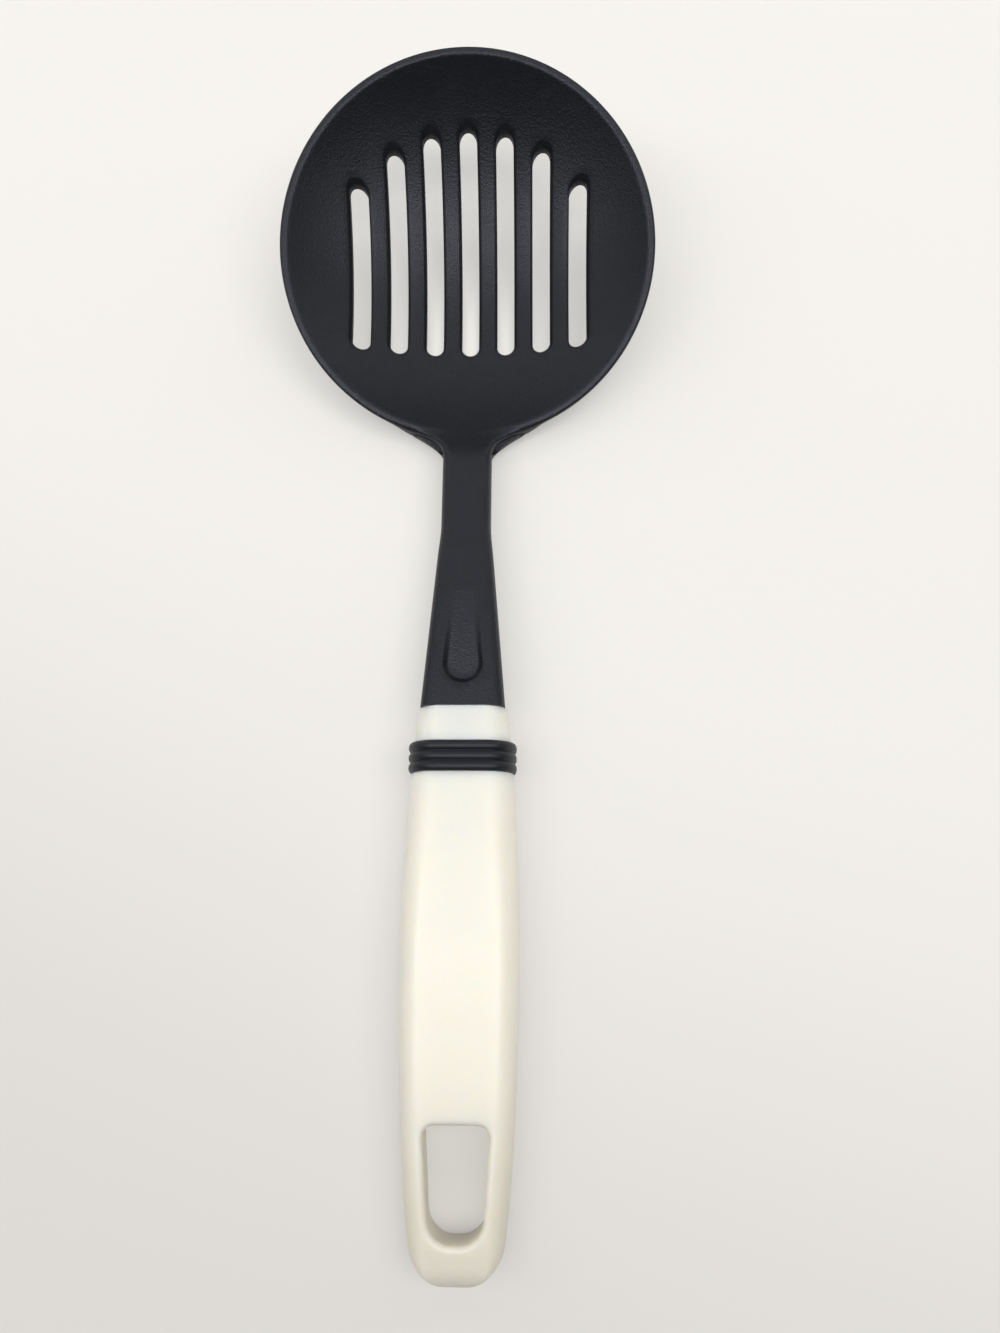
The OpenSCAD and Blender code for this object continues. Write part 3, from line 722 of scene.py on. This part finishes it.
# Rows of the grip as (distance from the butt, inset of the section).
BUTT_FIRST, BUTT_ROWS, GRIP_STEP, GROOVE_GAP = 10.2, 15, 1.5, 0.8
GROOVE_EDGE, EDGE_MID, COLLAR_ROWS = 0.25, 0.3, 8
angles = [math.radians(mix(BUTT_FIRST, 90, i / BUTT_ROWS)) for i in range(BUTT_ROWS + 1)]
plan = [(BUTT_ROUND * (1 - math.cos(a)), 0.0) for a in angles]
while plan[-1][0] + GRIP_STEP < GROOVE_0 - GROOVE_GAP:
    plan.append((plan[-1][0] + GRIP_STEP, 0.0))
step = GROOVE_EDGE * EDGE_MID
plan += [(GROOVE_0 - GROOVE_EDGE, 0.0), (GROOVE_0 - step, step), (GROOVE_0, GROOVE_EDGE),
         (GROOVE_0, GROOVE), (GROOVE_1, GROOVE),
         (GROOVE_1, GROOVE_EDGE), (GROOVE_1 + step, step), (GROOVE_1 + GROOVE_EDGE, 0.0)]
plan += [(mix(GROOVE_1 + GROOVE_EDGE, HANDLE_L - COLLAR_EDGE, i / COLLAR_ROWS), 0.0)
         for i in range(1, COLLAR_ROWS + 1)]
plan += [(HANDLE_L - COLLAR_EDGE * (1 - math.sin(a)), COLLAR_EDGE * (1 - math.cos(a)))
         for a in quarter(6)[1:]]

grip = Shell()
loops = []
for y, inset in plan:
    at = GROOVE_0 if inset == GROOVE else min(y, HANDLE_L - COLLAR_EDGE)
    loops.append(grip.loop([(x, BUTT_Y + y, z) for x, z in grip_section(at, inset)]))

# The faces round the hanging hole, on top and below, are left out here and filled by sheets.
HOLE_FROM, HOLE_TO, TOP_OVER, LOW_OVER = 6.0, 44.0, 4, 5
open_rows = [i for i, (y, _) in enumerate(plan) if HOLE_FROM < y < HOLE_TO]
r0, r1 = open_rows[0], open_rows[-1]
n_col = len(loops[0])
top_right, low_right = LOW_N // 2 + 2 * SIDE - TOP_OVER, LOW_N // 2 + LOW_OVER
top_left, low_left = n_col - top_right, n_col - low_right
for i, (a, b) in enumerate(zip(loops, loops[1:])):
    for j in range(n_col):
        if r0 <= i < r1 and (top_right <= j < top_left or j < low_right or j >= low_left):
            continue
        k = (j + 1) % n_col
        grip.faces.append((a[j], a[k], b[k], b[j]))
grip.faces.append(tuple(reversed(loops[0])))

SOCKET_ROOM = 0.25
last = loops[-1]
around = [(grip.verts[v][0], grip.verts[v][2]) for v in last]
for back in (0.0, TANG_L + SOCKET_ROOM):
    hollow = grip.loop([(x, FACE_Y - back, z) for x, z in tang_outline(around, -SOCKET_ROOM)])
    grip.strip(last, hollow)
    last = hollow
grip.faces.append(tuple(last))

rings = []
for a in quarter(6):
    line, depth = hole_loop(HOLE_EDGE * (1 - math.sin(a))), HOLE_EDGE * (1 - math.cos(a))
    rings.append(grip.loop([(x, BUTT_Y + y, grip_top_z(x, y) - depth) for x, y in line]))
for a in reversed(quarter(6)):
    line, depth = hole_loop(HOLE_EDGE * (1 - math.sin(a)) + HOLE_DRAFT), HOLE_EDGE * (1 - math.cos(a))
    rings.append(grip.loop([(x, BUTT_Y + y, grip_low_z(x, y) + depth) for x, y in line]))
for a, b in zip(rings, rings[1:]):
    grip.strip(a, b)


def block_loop(c0, c1):
    """Edge of the block of faces left out between two columns, all the way round."""
    cols = [c % n_col for c in range(c0, c1 + 1)]
    return ([loops[r0][c] for c in cols] + [loops[r][cols[-1]] for r in range(r0 + 1, r1)]
            + [loops[r1][c] for c in reversed(cols)] + [loops[r][cols[0]] for r in range(r1 - 1, r0, -1)])


HOLE_TOP_GRID, HOLE_LOW_GRID = 1.4, 1.6
grip.sheet(block_loop(top_right, top_left), [rings[0]], [],
           lambda x, y: grip_top_z(x, y - BUTT_Y), HOLE_TOP_GRID, False)
grip.sheet(block_loop(low_left, n_col + low_right), [rings[-1]], [],
           lambda x, y: grip_low_z(x, y - BUTT_Y), HOLE_LOW_GRID, True)
handle = grip.object("handle_moulding")
ivory = plastic("ivory_plastic", dark=(0.815, 0.795, 0.715), light=(0.855, 0.835, 0.755),
                speck=(0.70, 0.68, 0.60), rough=(0.36, 0.44), bump=(0.12, 0.00005),
                scales=(1500.0, 40.0, 700.0), speck_share=0.001, glow=1.0)

# The handle's colour is multiplied darker, a touch warmer, towards the butt: painted shade where the light
# falls off towards the near end.
SHADE_FROM, SHADE_TO, BUTT_SHADE = -0.108, -0.152, (0.86, 0.85, 0.83, 1)
t = ivory.node_tree
paint_in = t.nodes["Principled BSDF"].inputs["Base Color"]
here = t.nodes.new("ShaderNodeTexCoord").outputs["Object"]
spot = add_node(t, "ShaderNodeSeparateXYZ", {"Vector": here})
butt_shade_ramp = add_node(t, "ShaderNodeMapRange", {"Value": spot.outputs["Y"], "From Min": SHADE_FROM,
                                          "From Max": SHADE_TO}, interpolation_type="SMOOTHSTEP")
painted_butt_shade = add_node(t, "ShaderNodeMix", {"Factor": butt_shade_ramp.outputs["Result"], "B": BUTT_SHADE,
                                       "A": paint_in.links[0].from_socket},
                  data_type="RGBA", blend_type="MULTIPLY")
t.links.new(painted_butt_shade.outputs["Result"], paint_in)
handle.data.materials.append(ivory)
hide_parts("handle")
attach(handle, "root")

# Ring: a black elastomer band with three rounded ribs, stretched over the
# collar. Its smooth bore grips the floor of the groove in the handle.
RIBS, PROUD, RIB_DEPTH, FIT = 3, 0.8, 0.7, 0.12
RIB_PITCH, RIB_STEPS, RIB_ROUND, WELD = (RING_L - FIT) / RIBS, 18, 0.6, 2e-6
ring_rubber = plastic("ring_rubber", dark=(0.0055, 0.006, 0.0075), light=(0.008, 0.0088, 0.0108),
                      speck=(0.06, 0.06, 0.06), rough=(0.42, 0.52), bump=(0.4, 0.00008),
                      scales=(1900.0, 90.0, 900.0), speck_share=0.003, specular=0.52, tint=COOL)


def rib_skin():
    """Outer skin of the first rib, from valley to valley."""
    skin, rows = Shell(), []
    for i in range(RIB_STEPS + 1):
        height = PROUD - RIB_DEPTH * (1 - math.sin(math.pi * i / RIB_STEPS) ** RIB_ROUND)
        y = GROOVE_0 + FIT / 2 + RIB_PITCH * i / RIB_STEPS
        rows.append(skin.loop([(x, BUTT_Y + y, z) for x, z in grip_section(GROOVE_0, -height)]))
    for a, b in zip(rows, rows[1:]):
        skin.strip(a, b)
    return skin.object("rib")


def rib_tree():
    """Repeats the rib along the handle, count times at the pitch."""
    g = bpy.data.node_groups.new("ribs", "GeometryNodeTree")
    for name, kind in (("Geometry", "Geometry"), ("Rib Count", "Int"), ("Rib Pitch", "Float"),
                       ("Material", "Material")):
        g.interface.new_socket(name=name, in_out="INPUT", socket_type="NodeSocket" + kind)
    g.interface.new_socket(name="Geometry", in_out="OUTPUT", socket_type="NodeSocketGeometry")
    start, end = g.nodes.new("NodeGroupInput"), g.nodes.new("NodeGroupOutput")
    step = add_node(g, "ShaderNodeCombineXYZ", {"Y": start.outputs["Rib Pitch"]})
    line = add_node(g, "GeometryNodeMeshLine", {"Offset": step.outputs[0],
                                                "Count": start.outputs["Rib Count"]})
    place = add_node(g, "GeometryNodeInstanceOnPoints", {"Points": line.outputs["Mesh"],
                                                         "Instance": start.outputs["Geometry"]})
    real = add_node(g, "GeometryNodeRealizeInstances", {"Geometry": place.outputs["Instances"]})
    paint_it = add_node(g, "GeometryNodeSetMaterial", {"Geometry": real.outputs["Geometry"],
                                                       "Material": start.outputs["Material"]})
    g.links.new(paint_it.outputs["Geometry"], end.inputs["Geometry"])
    return g


rib = rib_skin()
repeat = rib.modifiers.new("ribs", "NODES")
repeat.node_group = rib_tree()
given = {"Rib Count": RIBS, "Rib Pitch": RIB_PITCH * MM, "Material": ring_rubber}
for item in repeat.node_group.interface.items_tree:
    if item.in_out == "INPUT" and item.name in given:
        repeat[item.identifier] = given[item.name]
ribs = bpy.data.meshes.new_from_object(rib.evaluated_get(bpy.context.evaluated_depsgraph_get()))
rib.modifiers.remove(repeat)
bpy.data.objects.remove(rib)

# The bore and the two flat ends, then the ribs welded to them.
band = Shell()
edge, valley = GROOVE_0 + FIT / 2, PROUD - RIB_DEPTH
far_edge = edge + RIBS * RIB_PITCH
bore = [band.loop([(x, BUTT_Y + y, z) for x, z in grip_section(GROOVE_0, inset)])
        for y, inset in ((edge, -valley), (edge, GROOVE - FIT),
                         (far_edge, GROOVE - FIT), (far_edge, -valley))]
for a, b in zip(bore, bore[1:]):
    band.strip(b, a)
ring = band.object("ribbed_ring")
joined = bmesh.new()
joined.from_mesh(ring.data)
joined.from_mesh(ribs)
bmesh.ops.remove_doubles(joined, verts=joined.verts, dist=WELD)
bmesh.ops.recalc_face_normals(joined, faces=joined.faces)
joined.to_mesh(ring.data)
joined.free()
bpy.data.meshes.remove(ribs)
ring.data.shade_smooth()
ring.data.materials.clear()
ring.data.materials.append(ring_rubber)
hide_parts("grip_ring")
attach(ring, "root")

# Table top, lamps and camera: a pale matt table that fades into the background
# away from the spoon, a room of ceiling strips, windows and pale walls with a
# tube on each side, and the camera above the shank.
TABLE_SIZE, TABLE_ROUGH, TABLE_GLOSS = 6.0, 0.65, 0.3
# SHADED is painted shade: the table's colour turns from PALE to SHADED towards the near end and the left,
# where the light falls off.
SHADED, PALE = (0.678, 0.663, 0.634, 1), (0.803, 0.788, 0.760, 1)
SHADE_FALL_FROM, SHADE_FALL_TO, SHADE_FALL_SLANT = -0.20, 0.03, 0.4
FADE_FROM, FADE_TO, LIFT, LIFT_NEAR = 0.4, 1.1, 1.08, 0.44
bpy.ops.mesh.primitive_grid_add(x_subdivisions=4, y_subdivisions=4, size=TABLE_SIZE)
table = bpy.context.object
table.name = "table_top"
paint = bpy.data.materials.new("pale_table")
paint.use_nodes = True
tree = paint.node_tree
here = tree.nodes.new("ShaderNodeTexCoord").outputs["Object"]
split = add_node(tree, "ShaderNodeSeparateXYZ", {"Vector": here})
# Painted shade: the table is painted darker towards the near end and the left.
slant = add_node(tree, "ShaderNodeMath", {0: split.outputs["X"], 1: SHADE_FALL_SLANT, 2: split.outputs["Y"]},
                 operation="MULTIPLY_ADD")
painted_shade_fall = add_node(tree, "ShaderNodeMapRange", {"Value": slant.outputs[0], "From Min": SHADE_FALL_FROM,
                                             "From Max": SHADE_FALL_TO}, interpolation_type="SMOOTHSTEP")
far = add_node(tree, "ShaderNodeVectorMath", {0: here}, operation="LENGTH")
away = add_node(tree, "ShaderNodeMapRange", {"Value": far.outputs["Value"], "From Min": FADE_FROM,
                                             "From Max": FADE_TO}, interpolation_type="SMOOTHSTEP")
palest = add_node(tree, "ShaderNodeMath", {0: painted_shade_fall.outputs["Result"], 1: away.outputs["Result"]},
                  operation="MAXIMUM")
tone = add_node(tree, "ShaderNodeMix", {"Factor": palest.outputs[0], "A": SHADED, "B": PALE},
                data_type="RGBA")
table_shader = tree.nodes["Principled BSDF"]
table_shader.inputs["Roughness"].default_value = TABLE_ROUGH
table_shader.inputs["Specular IOR Level"].default_value = TABLE_GLOSS
tree.links.new(tone.outputs["Result"], table_shader.inputs["Base Color"])

# A share of what the camera sees of the table is flat colour, and far away it is all of it.
lift = add_node(tree, "ShaderNodeEmission", {"Color": tone.outputs["Result"], "Strength": LIFT})
share = add_node(tree, "ShaderNodeMath", {0: away.outputs["Result"], 1: 1 - LIFT_NEAR, 2: LIFT_NEAR},
                 operation="MULTIPLY_ADD")
ray = tree.nodes.new("ShaderNodeLightPath")
amount = add_node(tree, "ShaderNodeMath", {0: ray.outputs["Is Camera Ray"], 1: share.outputs[0]},
                  operation="MULTIPLY")
both = add_node(tree, "ShaderNodeMixShader", {0: amount.outputs[0], 1: table_shader.outputs[0],
                                              2: lift.outputs[0]})
tree.links.new(both.outputs[0], tree.nodes["Material Output"].inputs["Surface"])
table.data.materials.append(paint)

LAMP_COLOR = (1.0, 0.99, 0.975)
STRIP, TUBE, PANE, BOWL_AT = (1.6, 0.2), (0.08, 0.6), (0.5, 0.5), (0, 0.08, 0)
CEILING_Z, PANE_Z, WALL_Z = 0.88, 0.337, 0.45


def soft_light(name, place, aim, size, power, beam=180.0, mirrored=True):
    """Rectangular lamp turned to a point. It shows in reflections if it is mirrored."""
    data = bpy.data.lights.new(name, "AREA")
    data.shape = "RECTANGLE"
    data.size, data.size_y = size
    data.energy = power
    data.spread = math.radians(beam)
    data.color = LAMP_COLOR
    lamp = bpy.data.objects.new(name, data)
    lamp.visible_glossy = mirrored
    lamp.location = place
    lamp.rotation_euler = (Vector(aim) - Vector(place)).to_track_quat("-Z", "Y").to_euler()
    bpy.context.scene.collection.objects.link(lamp)


soft_light("ceiling_near", (0, -0.30, CEILING_Z), (0, -0.30, 0), STRIP, 2.0)
soft_light("ceiling", (0, -0.10, CEILING_Z), (0, -0.10, 0), STRIP, 5.75)
soft_light("ceiling_middle", (0, 0.50, CEILING_Z), (0, 0.90, 0), STRIP, 2.1, beam=120)
soft_light("ceiling_far", (0, 0.75, CEILING_Z), (0, 0.75, 0), STRIP, 2.2)
soft_light("ceiling_end", (0, 0.75, CEILING_Z), (0, 1.15, 0), STRIP, 2.4, beam=120)
soft_light("right_tube", (0.4086, 0.08, 0.802), BOWL_AT, TUBE, 1.75, mirrored=False)
soft_light("left_tube", (-0.602, 0.08, 0.669), BOWL_AT, TUBE, 1.0, mirrored=False)
soft_light("window", (0, 0.914, PANE_Z), BOWL_AT, PANE, 0.33)
soft_light("window_right", (0.59, 0.67, PANE_Z), BOWL_AT, PANE, 1.1)
soft_light("window_left", (-0.59, 0.67, PANE_Z), BOWL_AT, PANE, 1.1)
soft_light("right_wall", (0.78, 0.08, WALL_Z), BOWL_AT, PANE, 0.35)
soft_light("left_wall", (-0.78, 0.08, WALL_Z), BOWL_AT, PANE, 0.55)

# The world adds a trace of light, and shows its pale tone to the camera only.
world = bpy.data.worlds.new("room")
bpy.context.scene.world = world
world.use_nodes = True
sky = world.node_tree
dim = wire(sky, sky.nodes["Background"], {"Color": (1.0, 0.985, 0.965, 1), "Strength": 0.005})
pale = add_node(sky, "ShaderNodeBackground", {"Color": (0.88, 0.865, 0.84, 1)})
look = sky.nodes.new("ShaderNodeLightPath")
choice = add_node(sky, "ShaderNodeMixShader", {0: look.outputs["Is Camera Ray"], 1: dim.outputs[0],
                                               2: pale.outputs[0]})
sky.links.new(choice.outputs[0], sky.nodes["World Output"].inputs["Surface"])

# The camera as fitted to the photograph: focal length and height of the frame
# in its pixels, turn in degrees, place in millimetres with y from the rim's centre.
FOCAL, FRAME_H, SENSOR = 960.0, 1333.0, 36.0
TILT, ROLL, PAN = 13.0, 1.80, 0.34
EYE_X, EYE_BACK, EYE_Z = 18.61, 182.14, 271.04
lens = bpy.data.cameras.new("camera")
lens.sensor_width = SENSOR
lens.lens = FOCAL / FRAME_H * SENSOR
lens.clip_start, lens.clip_end = 0.01, 20
camera = bpy.data.objects.new("camera", lens)
camera.rotation_mode = "XYZ"
camera.rotation_euler = [math.radians(v) for v in (TILT, ROLL, PAN)]
camera.location = (EYE_X * MM, (RIM_Y - EYE_BACK) * MM, EYE_Z * MM)
bpy.context.scene.collection.objects.link(camera)
bpy.context.scene.camera = camera
bpy.context.scene.view_settings.view_transform = "Standard"
